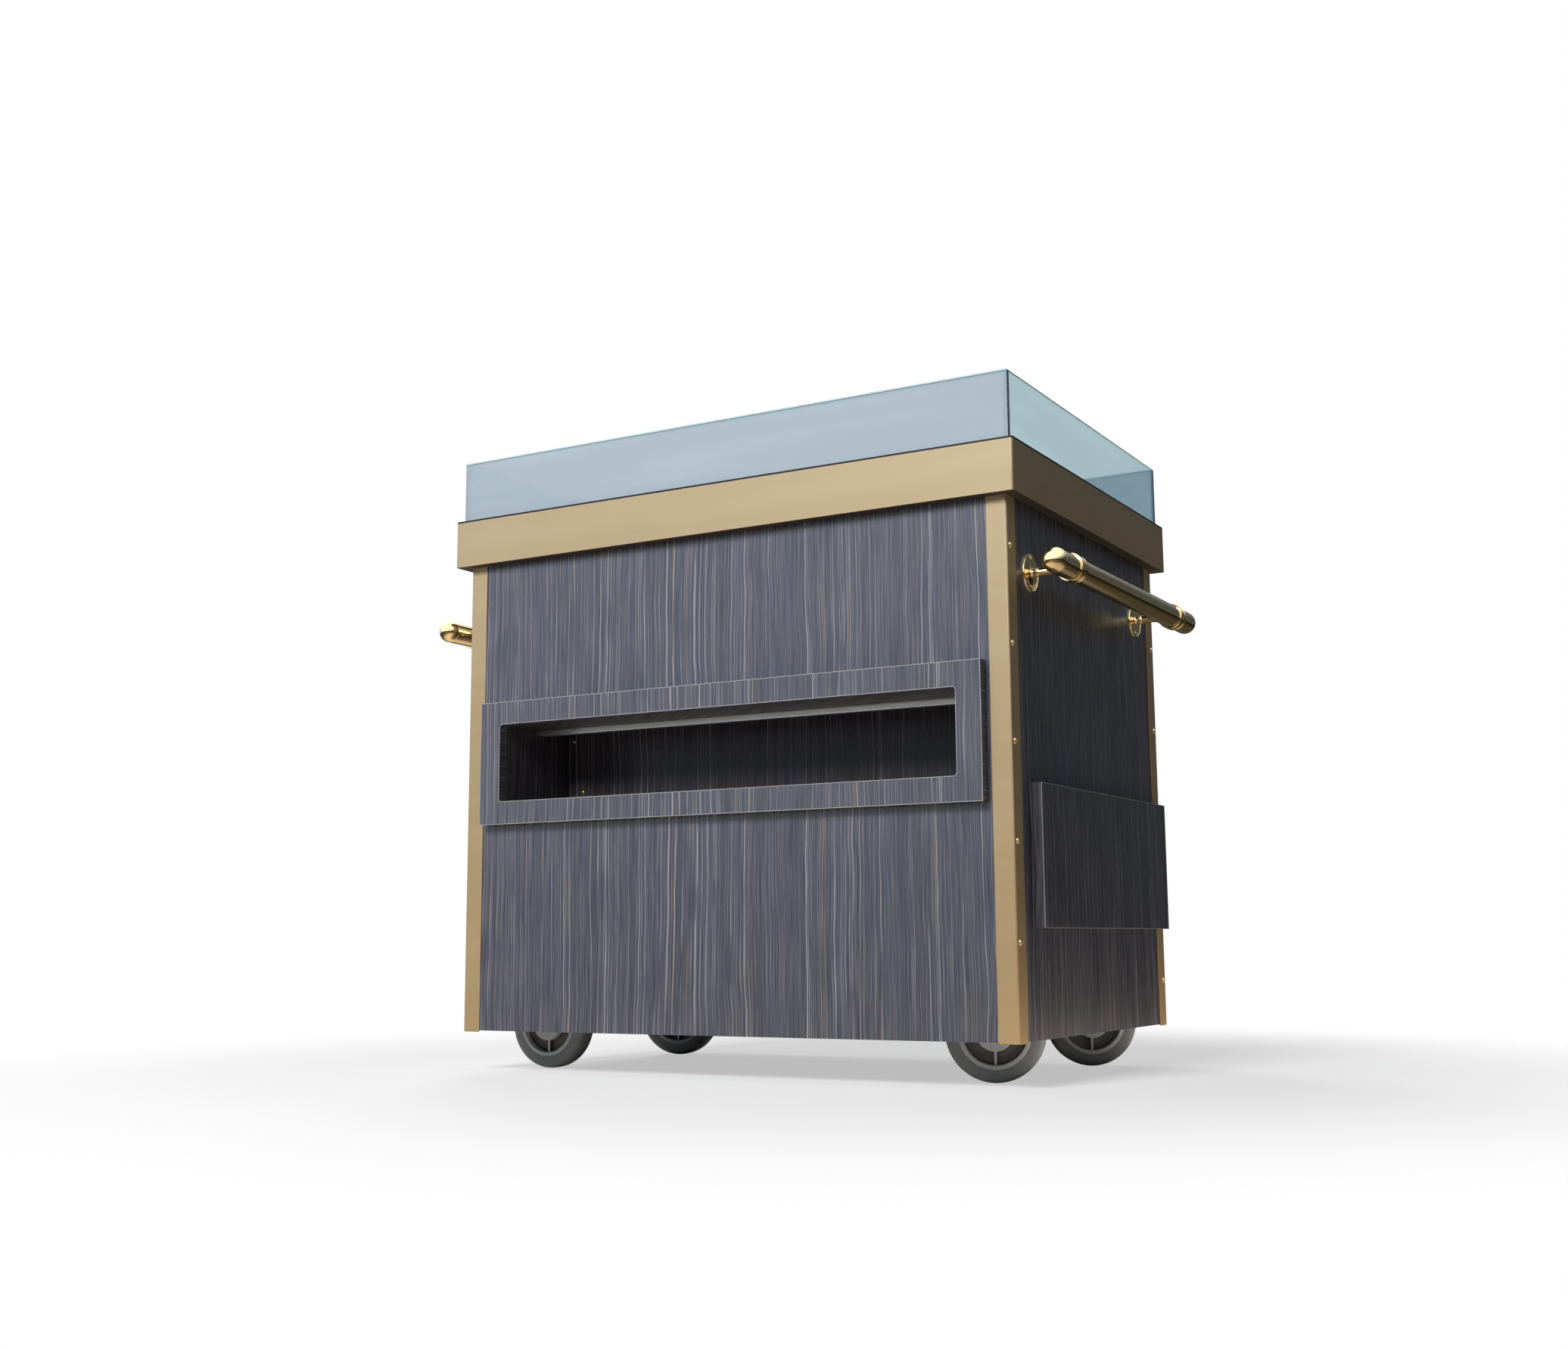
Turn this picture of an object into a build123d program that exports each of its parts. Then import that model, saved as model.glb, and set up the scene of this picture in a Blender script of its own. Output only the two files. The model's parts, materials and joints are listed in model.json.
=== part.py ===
from build123d import *
import os
from math import cos, radians, sin

# Dim sum cart, in millimetres. Origin on the floor under the middle of the cabinet, +Z up.
# The front with the long niche faces -Y, and the short side with the drawer is at +X.

# Cabinet over its corner trims
cabinet_width = 1000.0
cabinet_depth = 650.0
skirt_clearance = 64.0
fascia_top = 932.0
panel_thickness = 12.0
panel_lift = 2.0
overlay_board = 19.0
fit_gap = 0.2

# Folded metal: corner trims and the apron round the top
sheet = 2.0
trim_leg = 33.0
trim_bend = 2.5
fascia_height = 78.0
fascia_overhang = 20.0
fascia_corner = 3.0
fascia_reveal = 0.5

# Top
top_board_thickness = 18.0
worktop_thickness = 3.0
glass_thickness = 8.0
glass_setback = 10.0
glass_height = 106.0
glass_seat_depth = 1.0
glass_seat_gap = 0.3
glass_edge_round = 1.0

# Base deck and inner boards
deck_thickness = 15.0
shelf_thickness = 14.0
shelf_housing = 2.0
shelf_track_gap = 1.5
partition_thickness = 12.0

# Niche on the front
surround_trim_gap = 7.0
surround_height = 206.0
surround_stile = 40.0
slot_height = 130.0
slot_corner = 5.0
slot_centre_z = 509.0
niche_depth = 174.0
niche_board = 10.0
niche_back_board = 8.0
rail_setback = 86.0
rail_depth = 14.0
rail_height = 9.0
rail_neck_depth = 8.0
rail_neck_height = 1.5
rail_groove = 1.4
rail_groove_count = 3

# Drawer on the right-hand side
drawer_front_margin = 64.0
drawer_back_margin = 24.0
drawer_front_bottom = 226.0
drawer_front_drop = 8.0
drawer_gap = 0.5
drawer_rebate_depth = 3.0
drawer_lap_side = 35.0
drawer_lap_bottom = 14.0
drawer_lap_top = 20.0
drawer_length = 440.0
drawer_box_lift = 16.0
drawer_box_drop = 20.0
drawer_wall = 12.0
drawer_bottom_thickness = 6.0
drawer_groove_depth = 6.0
drawer_groove_height = 8.0

# Drawer runners: a channel on the cabinet and a channel on the drawer, one inside the other
runner_space = 13.0
runner_height = 36.0
runner_wall = 1.5
runner_flange = 10.5
runner_length = 400.0
runner_back_setback = 14.0
runner_play = 0.5

# Sliding doors on the service side, in a double channel behind the back panel
door_opening_margin = 70.0
door_opening_sill = 15.0
door_opening_drop = 84.0
door_thickness = 10.0
door_overlap = 29.0
door_play = 0.5
door_engagement = 6.5
pull_width = 22.0
pull_height = 90.0
pull_depth = 5.0
pull_inset = 75.0
track_wall = 1.5
track_bottom_height = 8.0
track_top_height = 16.0
head_rail_thickness = 18.0
track_top_clearance = 2.0

# Push rails
rail_axis_drop = 180.0
rail_axis_reach = 67.0
rail_end_inset = 21.0
rail_bracket_inset = 69.0
rail_radius = 19.0
rail_fit = 0.05
collar_radius = 21.5
collar_length = 24.0
rose_radius = 29.0
rose_height = 4.0
stem_radius = 6.0

# Casters
caster_inset_x = 125.0
caster_inset_y = 125.0
caster_height = 186.0
wheel_radius = 75.0
trail = 32.0
tyre_width = 38.0
tyre_inner_radius = 55.0
tyre_key_sides = 24
rim_inner_radius = 49.0
rim_sides = 20
rim_width = 36.0
hub_radius = 29.0
hub_sides = 16
hub_width = 41.0
web_thickness = 6.0
rib_width = 5.0
rib_depth = 26.0
rib_count = 5
spacer_radius = 6.0
running_gap = 0.05
bolt_head_flats = 17.0
bolt_head_height = 6.0
fork_sheet = 3.0
fork_inner_width = 42.0
fork_crown_gap = 18.0
fork_crown_width = 58.0
fork_crown_skirt = 8.0
fork_eye_radius = 14.0
fork_eye_sides = 8
fork_bend = 4.0
race_radius = 28.0
race_gap = 0.1
plate_length = 100.0
plate_width = 84.0
plate_thickness = 3.0
plate_corner = 9.0
kingpin_radius = 6.0
kingpin_nut_flats = 19.0
kingpin_nut_height = 8.0

# How far each caster has swung, in degrees from trailing towards +X
caster_swing_degrees = {
    "front_right": 18.0,
    "front_left": 180.0,
    "back_right": 28.0,
    "back_left": 190.0,
}

# Faces that follow from the sizes above
half_width = cabinet_width / 2
half_depth = cabinet_depth / 2
panel_face_x = half_width - sheet
panel_face_y = half_depth - sheet
inner_x = panel_face_x - panel_thickness
inner_y = panel_face_y - panel_thickness
panel_bottom = skirt_clearance + panel_lift
fascia_bottom = fascia_top - fascia_height
top_board_bottom = fascia_top - top_board_thickness
panel_height = top_board_bottom - panel_bottom
panel_centre_z = (top_board_bottom + panel_bottom) / 2
worktop_top = fascia_top + worktop_thickness
fascia_width = cabinet_width + 2 * fascia_overhang
fascia_depth = cabinet_depth + 2 * fascia_overhang
deck_top = caster_height + deck_thickness
surround_width = cabinet_width - 2 * (trim_leg + surround_trim_gap)
slot_width = surround_width - 2 * surround_stile
slot_bottom = slot_centre_z - slot_height / 2
slot_top = slot_centre_z + slot_height / 2
niche_outer_width = slot_width + 2 * niche_board
niche_outer_height = slot_height + 2 * niche_board
niche_back_face = panel_face_y - niche_depth - niche_back_board
shelf_top = slot_bottom - niche_board + shelf_housing
shelf_bottom = shelf_top - shelf_thickness
channel_width = door_thickness + 2 * door_play
track_depth = 2 * channel_width + 3 * track_wall

os.makedirs("parts", exist_ok=True)


def save(piece, name):
    """Label a finished piece and write it as one STEP file."""
    piece.part.label = name
    export_step(piece.part, f"parts/{name}.step")


def block(x_span, y_span, z_span):
    """A sawn board or sheet that fills the space between six faces."""
    width, depth = x_span[1] - x_span[0], y_span[1] - y_span[0]
    with BuildPart() as piece:
        with BuildSketch(Plane.XY.offset(z_span[0])):
            with Locations(((x_span[0] + x_span[1]) / 2, (y_span[0] + y_span[1]) / 2)):
                Rectangle(width, depth)
        extrude(amount=z_span[1] - z_span[0])
    return piece


# Base deck: the board inside the skirt that the four casters bolt to
save(block((-inner_x, inner_x), (-inner_y, inner_y), (caster_height, deck_top)), "base_deck")

# Front panel, cut out for the niche box
with BuildPart() as front_panel:
    with BuildSketch(Plane.XZ.offset(inner_y)):
        with Locations((0, panel_centre_z)):
            Rectangle(2 * panel_face_x, panel_height)
        with Locations((0, slot_centre_z)):
            Rectangle(
                niche_outer_width + 2 * fit_gap, niche_outer_height + 2 * fit_gap, mode=Mode.SUBTRACT
            )
    extrude(amount=panel_thickness)
save(front_panel, "front_panel")

# Back panel, with the opening in front of the two sliding doors
door_opening_width = cabinet_width - 2 * door_opening_margin
door_opening_bottom = deck_top + door_opening_sill
door_opening_top = top_board_bottom - door_opening_drop
door_opening_height = door_opening_top - door_opening_bottom
door_opening_centre_z = (door_opening_top + door_opening_bottom) / 2
with BuildPart() as back_panel:
    with BuildSketch(Plane.XZ.offset(-panel_face_y)):
        with Locations((0, panel_centre_z)):
            Rectangle(2 * panel_face_x, panel_height)
        with Locations((0, door_opening_centre_z)):
            Rectangle(door_opening_width, door_opening_height, mode=Mode.SUBTRACT)
    extrude(amount=panel_thickness)
save(back_panel, "back_panel")

# Left panel, plain
with BuildPart() as left_panel:
    with BuildSketch(Plane.YZ.offset(-panel_face_x)):
        with Locations((0, panel_centre_z)):
            Rectangle(2 * inner_y, panel_height)
    extrude(amount=panel_thickness)
save(left_panel, "left_panel")

# Right panel, with the opening that the drawer box passes through
drawer_front_width = cabinet_depth - drawer_front_margin - drawer_back_margin
drawer_front_height = slot_bottom - drawer_front_drop - drawer_front_bottom
drawer_centre_y = (drawer_front_margin - drawer_back_margin) / 2
drawer_opening_width = drawer_front_width - 2 * drawer_lap_side
drawer_opening_height = drawer_front_height - drawer_lap_bottom - drawer_lap_top
drawer_opening_bottom = drawer_front_bottom + drawer_lap_bottom
drawer_opening_centre_z = drawer_opening_bottom + drawer_opening_height / 2
with BuildPart() as right_panel:
    with BuildSketch(Plane.YZ.offset(inner_x)):
        with Locations((0, panel_centre_z)):
            Rectangle(2 * inner_y, panel_height)
        with Locations((drawer_centre_y, drawer_opening_centre_z)):
            Rectangle(drawer_opening_width, drawer_opening_height, mode=Mode.SUBTRACT)
    extrude(amount=panel_thickness)
save(right_panel, "right_panel")


def corner_trim(side, end):
    """An angle of folded sheet over one upright corner, its outside edge rounded by the fold."""
    legs = [
        (0, 0),
        (trim_leg, 0),
        (trim_leg, sheet),
        (sheet, sheet),
        (sheet, trim_leg),
        (0, trim_leg),
    ]
    outline = [(side * (half_width - u), end * (half_depth - v)) for u, v in legs]
    with BuildPart() as trim:
        with BuildSketch(Plane.XY.offset(skirt_clearance)):
            with BuildLine():
                Polyline(*outline, close=True)
            make_face()
        extrude(amount=top_board_bottom - skirt_clearance)
        uprights = trim.edges().filter_by(Axis.Z)
        fold = uprights.sort_by_distance((side * half_width, end * half_depth, fascia_bottom))[0]
        fillet(fold, radius=trim_bend)
    return trim


for side_name, side in (("left", -1), ("right", 1)):
    for end_name, end in (("front", -1), ("back", 1)):
        save(corner_trim(side, end), f"corner_trim_{end_name}_{side_name}")

# Inner shelf, housed out for the niche box that stands on it, and clear of the door channels
shelf_back_y = inner_y - track_depth - shelf_track_gap
housing_width = niche_outer_width + 2 * fit_gap
housing_depth = inner_y - niche_back_face + fit_gap
from_front = (Align.CENTER, Align.MIN)
with BuildPart() as inner_shelf:
    with BuildSketch(Plane.XY.offset(shelf_bottom)):
        with Locations((0, -inner_y)):
            Rectangle(2 * inner_x, inner_y + shelf_back_y, align=from_front)
    extrude(amount=shelf_thickness)
    with BuildSketch(Plane.XY.offset(shelf_top - shelf_housing)):
        with Locations((0, -inner_y)):
            Rectangle(housing_width, housing_depth, align=from_front)
    extrude(amount=shelf_housing, mode=Mode.SUBTRACT)
save(inner_shelf, "inner_shelf")

# Top board inside the apron
top_board_x = fascia_width / 2 - sheet - fit_gap
top_board_y = fascia_depth / 2 - sheet - fit_gap
top_board_z = (top_board_bottom, fascia_top)
save(block((-top_board_x, top_board_x), (-top_board_y, top_board_y), top_board_z), "top_board")

# Apron of folded sheet round the top, with a bottom return that closes the overhang
with BuildPart() as fascia:
    with BuildSketch(Plane.XY.offset(fascia_bottom)):
        RectangleRounded(fascia_width, fascia_depth, fascia_corner)
    extrude(amount=fascia_height)
    with BuildSketch(Plane.XY.offset(fascia_bottom + sheet)):
        Rectangle(fascia_width - 2 * sheet, fascia_depth - 2 * sheet)
    extrude(amount=fascia_height - sheet, mode=Mode.SUBTRACT)
    with BuildSketch(Plane.XY.offset(fascia_bottom)):
        Rectangle(cabinet_width + 2 * fascia_reveal, cabinet_depth + 2 * fascia_reveal)
    extrude(amount=sheet, mode=Mode.SUBTRACT)
save(fascia, "fascia")

# Thin worktop sheet, flush with the outside of the apron, with a shallow seat for the glass
glass_x = fascia_width / 2 - glass_setback
glass_y = fascia_depth / 2 - glass_setback
pane_x = glass_x - glass_thickness
pane_y = glass_y - glass_thickness
glass_bottom = worktop_top - glass_seat_depth
with BuildPart() as worktop:
    with BuildSketch(Plane.XY.offset(fascia_top)):
        RectangleRounded(fascia_width, fascia_depth, fascia_corner)
    extrude(amount=worktop_thickness)
    with BuildSketch(Plane.XY.offset(glass_bottom)):
        Rectangle(2 * (glass_x + glass_seat_gap), 2 * (glass_y + glass_seat_gap))
        Rectangle(2 * (pane_x - glass_seat_gap), 2 * (pane_y - glass_seat_gap), mode=Mode.SUBTRACT)
    extrude(amount=glass_seat_depth, mode=Mode.SUBTRACT)
save(worktop, "worktop")


def glass_pane(x_span, y_span):
    """An upright pane in its seat on the worktop, its top edge ground to a small bevel all round."""
    pane = block(x_span, y_span, (glass_bottom, worktop_top + glass_height))
    with pane:
        top_edges = pane.faces().sort_by(Axis.Z)[-1].edges()
        chamfer(top_edges, length=glass_edge_round)
    return pane


# Glass guard: long panes front and back, short panes between them
save(glass_pane((-glass_x, glass_x), (-glass_y, -pane_y)), "glass_front")
save(glass_pane((-glass_x, glass_x), (pane_y, glass_y)), "glass_back")
save(glass_pane((-glass_x, -pane_x), (-pane_y, pane_y)), "glass_left")
save(glass_pane((pane_x, glass_x), (-pane_y, pane_y)), "glass_right")

# Raised frame on the front, with the long round-cornered slot
with BuildPart() as niche_surround:
    with BuildSketch(Plane.XZ.offset(panel_face_y)):
        with Locations((0, slot_centre_z)):
            Rectangle(surround_width, surround_height)
            RectangleRounded(slot_width, slot_height, slot_corner, mode=Mode.SUBTRACT)
    extrude(amount=overlay_board)
save(niche_surround, "niche_surround")

# Niche box: four boards glued round the slot, open to the front, and its back board
with BuildPart() as niche_box:
    with BuildSketch(Plane.XZ.offset(panel_face_y - niche_depth)):
        with Locations((0, slot_centre_z)):
            Rectangle(niche_outer_width, niche_outer_height)
            Rectangle(slot_width, slot_height, mode=Mode.SUBTRACT)
    extrude(amount=niche_depth)
save(niche_box, "niche_box")

with BuildPart() as niche_back:
    with BuildSketch(Plane.XZ.offset(niche_back_face)):
        with Locations((0, slot_centre_z)):
            Rectangle(niche_outer_width, niche_outer_height)
    extrude(amount=niche_back_board)
save(niche_back, "niche_back")

# Grooved aluminium rail under the ceiling of the niche
rail_front = -(panel_face_y - rail_setback)
rail_centre = rail_front + rail_depth / 2
rail_head_top = slot_top - rail_neck_height
rail_pitch = rail_height / (rail_groove_count + 1)
with BuildPart() as niche_rail:
    with BuildSketch(Plane.YZ.offset(fit_gap - slot_width / 2)):
        with Locations((rail_centre, slot_top - rail_neck_height / 2)):
            Rectangle(rail_neck_depth, rail_neck_height)
        with Locations((rail_centre, rail_head_top - rail_height / 2)):
            Rectangle(rail_depth, rail_height)
        for groove in range(rail_groove_count):
            with Locations((rail_front, rail_head_top - (groove + 1) * rail_pitch)):
                Rectangle(rail_groove, rail_groove, rotation=45, mode=Mode.SUBTRACT)
    extrude(amount=slot_width - 2 * fit_gap)
save(niche_rail, "niche_rail")

# Drawer front: the raised board, rebated at the back so that it passes the corner trim
drawer_back_face = panel_face_x + drawer_gap
trim_edge_y = half_depth - trim_leg
drawer_front_end = drawer_centre_y + drawer_front_width / 2
drawer_rebate_width = drawer_front_end - trim_edge_y + sheet
with BuildPart() as drawer_front:
    with BuildSketch(Plane.YZ.offset(drawer_back_face)):
        with Locations((drawer_centre_y, drawer_front_bottom + drawer_front_height / 2)):
            Rectangle(drawer_front_width, drawer_front_height)
    extrude(amount=overlay_board)
    with BuildSketch(Plane.YZ.offset(drawer_back_face)):
        with Locations((drawer_front_end, drawer_front_bottom + drawer_front_height / 2)):
            Rectangle(drawer_rebate_width, drawer_front_height, align=(Align.MAX, Align.CENTER))
    extrude(amount=drawer_rebate_depth, mode=Mode.SUBTRACT)
save(drawer_front, "drawer_front")

# Drawer box, grooved inside for its bottom
drawer_box_width = drawer_opening_width - 2 * runner_space
drawer_box_height = drawer_opening_height - drawer_box_lift - drawer_box_drop
drawer_box_bottom = drawer_opening_bottom + drawer_box_lift
drawer_box_centre_x = drawer_back_face - drawer_length / 2
drawer_inside_length = drawer_length - 2 * drawer_wall
drawer_inside_width = drawer_box_width - 2 * drawer_wall
groove_z = drawer_box_bottom + drawer_groove_height
with BuildPart() as drawer_box:
    with BuildSketch(Plane.XY.offset(drawer_box_bottom)):
        with Locations((drawer_box_centre_x, drawer_centre_y)):
            Rectangle(drawer_length, drawer_box_width)
            Rectangle(drawer_inside_length, drawer_inside_width, mode=Mode.SUBTRACT)
    extrude(amount=drawer_box_height)
    with BuildSketch(Plane.XY.offset(groove_z)):
        with Locations((drawer_box_centre_x, drawer_centre_y)):
            Rectangle(
                drawer_inside_length + 2 * drawer_groove_depth,
                drawer_inside_width + 2 * drawer_groove_depth,
            )
    extrude(amount=drawer_bottom_thickness, mode=Mode.SUBTRACT)
save(drawer_box, "drawer_box")

with BuildPart() as drawer_bottom:
    with BuildSketch(Plane.XY.offset(groove_z)):
        with Locations((drawer_box_centre_x, drawer_centre_y)):
            Rectangle(
                drawer_inside_length + 2 * (drawer_groove_depth - fit_gap),
                drawer_inside_width + 2 * (drawer_groove_depth - fit_gap),
            )
    extrude(amount=drawer_bottom_thickness)
save(drawer_bottom, "drawer_bottom")

# Two upright partitions that flank the drawer and hold up the shelf
partition_back_x = drawer_back_face - drawer_length - runner_back_setback
opening_half = drawer_opening_width / 2
partition_centre_x = (partition_back_x + inner_x) / 2
with BuildPart() as partitions:
    with BuildSketch(Plane.XY.offset(deck_top)):
        for flank in (-1, 1):
            centre_y = drawer_centre_y + flank * (opening_half + partition_thickness / 2)
            with Locations((partition_centre_x, centre_y)):
                Rectangle(inner_x - partition_back_x, partition_thickness)
    extrude(amount=shelf_bottom - deck_top)
save(partitions, "drawer_partitions")


def channel(web_y, opens, height):
    """Runner channel section: a web on the face it is screwed to, and two flanges off it."""
    inside = runner_flange - runner_wall
    centre_z = drawer_box_bottom + drawer_box_height / 2
    with Locations((web_y + opens * runner_flange / 2, centre_z)):
        Rectangle(runner_flange, height)
    with Locations((web_y + opens * (runner_wall + inside / 2), centre_z)):
        Rectangle(inside, height - 2 * runner_wall, mode=Mode.SUBTRACT)


# Cabinet runners on the partitions, and the slides on the drawer that run inside them
runner_start_x = inner_x - runner_length
slide_height = runner_height - 2 * (runner_wall + runner_play)
with BuildPart() as cabinet_runners:
    for flank in (-1, 1):
        with BuildSketch(Plane.YZ.offset(runner_start_x)):
            channel(drawer_centre_y + flank * opening_half, -flank, runner_height)
        extrude(amount=runner_length)
save(cabinet_runners, "cabinet_runners")

with BuildPart() as drawer_slides:
    for flank in (-1, 1):
        with BuildSketch(Plane.YZ.offset(runner_start_x)):
            channel(drawer_centre_y + flank * (opening_half - runner_space), flank, slide_height)
        extrude(amount=runner_length)
save(drawer_slides, "drawer_slides")


def door_track(board_z, height, opens):
    """Aluminium section on its board, with two channels side by side that open up (1) or down (-1)."""
    track_start_y = inner_y - track_depth
    web_side = (Align.MIN, Align.MIN if opens > 0 else Align.MAX)
    with BuildPart() as track:
        with BuildSketch(Plane.YZ.offset(fit_gap - inner_x)):
            with Locations((track_start_y, board_z)):
                Rectangle(track_depth, height, align=web_side)
            for groove in range(2):
                groove_y = track_start_y + track_wall + groove * (channel_width + track_wall)
                with Locations((groove_y, board_z + opens * track_wall)):
                    Rectangle(channel_width, height - track_wall, align=web_side, mode=Mode.SUBTRACT)
        extrude(amount=2 * (inner_x - fit_gap))
    return track


# Channels for the sliding doors: a low one on the deck, a tall one under the head rail
track_top_bottom = door_opening_top + track_top_clearance
head_rail_bottom = track_top_bottom + track_top_height
save(door_track(deck_top, track_bottom_height, 1), "door_track_lower")
save(door_track(head_rail_bottom, track_top_height, -1), "door_track_upper")
head_rail_y = (inner_y - track_depth - shelf_track_gap, inner_y)
head_rail_z = (head_rail_bottom, head_rail_bottom + head_rail_thickness)
save(block((-inner_x, inner_x), head_rail_y, head_rail_z), "head_rail")

# Sliding doors, each with a finger pull sunk in its outer face
door_bottom = deck_top + track_wall + door_play
door_top = track_top_bottom + door_engagement
door_height = door_top - door_bottom
door_width = inner_x - door_play + door_overlap / 2
outer_door_y = inner_y - track_wall - door_play
inner_door_y = outer_door_y - channel_width - track_wall
for side_name, side, door_face_y in (("left", -1, inner_door_y), ("right", 1, outer_door_y)):
    door_centre_x = side * (inner_x - door_play - door_width / 2)
    pull_x = side * (door_opening_width / 2 - pull_inset)
    with BuildPart() as door:
        with BuildSketch(Plane.XZ.offset(-door_face_y)):
            with Locations((door_centre_x, door_bottom + door_height / 2)):
                Rectangle(door_width, door_height)
        extrude(amount=door_thickness)
        with BuildSketch(Plane.XZ.offset(-door_face_y)):
            with Locations((pull_x, door_bottom + door_height / 2)):
                Rectangle(pull_width, pull_height)
        extrude(amount=pull_depth, mode=Mode.SUBTRACT)
    save(door, f"door_{side_name}")

# Push rails: a brass bar with domed ends along each short side, on two turned brackets
rail_axis_x = panel_face_x + rail_axis_reach
rail_axis_z = fascia_top - rail_axis_drop
rail_length = cabinet_depth - 2 * rail_end_inset
bracket_y_reach = rail_length / 2 - rail_bracket_inset
stem_end = rail_axis_reach - rail_radius
rose_profile = [
    (0, 0),
    (0, rose_radius),
    (rose_height, rose_radius),
    (rose_height, stem_radius),
    (stem_end, stem_radius),
    (stem_end, 0),
]
with BuildPart() as handle_rails:
    for side in (-1, 1):
        with BuildSketch(Plane.XZ):
            with Locations((side * rail_axis_x, rail_axis_z)):
                Circle(rail_radius)
        extrude(amount=rail_length / 2, both=True)
        for end in (-1, 1):
            with Locations((side * rail_axis_x, end * rail_length / 2, rail_axis_z)):
                Sphere(rail_radius)
save(handle_rails, "handle_rails")

# Brackets: a rose on the panel, a stem and a collar bored for the bar
with BuildPart() as handle_brackets:
    for side in (-1, 1):
        for bracket_y in (-bracket_y_reach, bracket_y_reach):
            rose_centre = (side * panel_face_x, bracket_y, rail_axis_z)
            with BuildSketch(Plane(origin=rose_centre, x_dir=(side, 0, 0), z_dir=(0, -side, 0))):
                with BuildLine():
                    Polyline(*rose_profile, close=True)
                make_face()
            revolve(axis=Axis(rose_centre, (side, 0, 0)))
            with BuildSketch(Plane.XZ.offset(-bracket_y)):
                with Locations((side * rail_axis_x, rail_axis_z)):
                    Circle(collar_radius)
            extrude(amount=collar_length / 2, both=True)
        with BuildSketch(Plane.XZ):
            with Locations((side * rail_axis_x, rail_axis_z)):
                Circle(rail_radius + rail_fit)
        extrude(amount=rail_length / 2, both=True, mode=Mode.SUBTRACT)
save(handle_brackets, "handle_brackets")

# Casters, from the bolted top plate down to the wheel
plate_bottom = caster_height - plate_thickness
crown_bottom = 2 * wheel_radius + fork_crown_gap
crown_top = crown_bottom + fork_sheet
race_bottom = crown_top + race_gap
nut_top = crown_bottom - race_gap
fork_half = fork_inner_width / 2 + fork_sheet
caster_x = half_width - caster_inset_x
caster_y = half_depth - caster_inset_y
caster_corners = {
    "front_right": (caster_x, -caster_y),
    "front_left": (-caster_x, -caster_y),
    "back_right": (caster_x, caster_y),
    "back_left": (-caster_x, caster_y),
}

# Top plates, each with the upper race under it and the kingpin and its nut
with BuildPart() as caster_plates:
    for corner_centre in caster_corners.values():
        with BuildSketch(Plane.XY.offset(plate_bottom)) as plate_outline:
            with Locations(corner_centre):
                Rectangle(plate_length, plate_width)
            chamfer(plate_outline.vertices(), length=plate_corner)
        extrude(amount=plate_thickness)
        with BuildSketch(Plane.XY.offset(race_bottom)):
            with Locations(corner_centre):
                Circle(race_radius)
        extrude(amount=plate_bottom - race_bottom)
        with BuildSketch(Plane.XY.offset(nut_top)):
            with Locations(corner_centre):
                Circle(kingpin_radius)
        extrude(amount=race_bottom - nut_top)
        with BuildSketch(Plane.XY.offset(nut_top - kingpin_nut_height)):
            with Locations(corner_centre):
                RegularPolygon(kingpin_nut_flats / 2, 6, major_radius=False)
        extrude(amount=kingpin_nut_height)
save(caster_plates, "caster_plates")


def caster_fork(swivel, axle_plane):
    """Folded yoke with legs that taper to the axle, and the bolt clamped in them."""
    with BuildPart() as fork:
        with BuildSketch(Plane(origin=swivel.origin, x_dir=swivel.y_dir, z_dir=swivel.x_dir)):
            with Locations((0, crown_top / 2)):
                Rectangle(2 * fork_half, crown_top)
            with Locations((0, crown_bottom / 2)):
                Rectangle(fork_inner_width, crown_bottom, mode=Mode.SUBTRACT)
        extrude(amount=fork_crown_width, both=True)
        lengthwise = fork.edges().filter_by(Axis(swivel.origin, swivel.x_dir))
        folds = lengthwise.group_by(Axis.Z)[-1]
        fillet(folds, radius=fork_bend)
        with BuildSketch(Plane(origin=swivel.origin, x_dir=swivel.x_dir, z_dir=-swivel.y_dir)):
            with Locations((trail, wheel_radius)):
                RegularPolygon(fork_eye_radius, fork_eye_sides, major_radius=False)
            with Locations((0, crown_top - fork_crown_skirt / 2)):
                Rectangle(fork_crown_width, fork_crown_skirt)
            make_hull()
        extrude(amount=fork_half, both=True, mode=Mode.INTERSECT)
        with BuildSketch(swivel.offset(crown_bottom)):
            Circle(kingpin_radius + running_gap)
        extrude(amount=fork_sheet, mode=Mode.SUBTRACT)
        with BuildSketch(axle_plane):
            Circle(spacer_radius)
        extrude(amount=fork_half, both=True)
        for face_offset in (fork_half, -fork_half - bolt_head_height):
            with BuildSketch(axle_plane.offset(face_offset)):
                RegularPolygon(bolt_head_flats / 2, 6, major_radius=False)
            extrude(amount=bolt_head_height)
    return fork


def caster_tyre(axle_plane):
    """Grey rubber ring, its inside many-sided to key it to the wheel centre."""
    with BuildPart() as tyre:
        with BuildSketch(axle_plane):
            Circle(wheel_radius)
            RegularPolygon(tyre_inner_radius, tyre_key_sides, mode=Mode.SUBTRACT)
        extrude(amount=tyre_width / 2, both=True)
    return tyre


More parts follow.
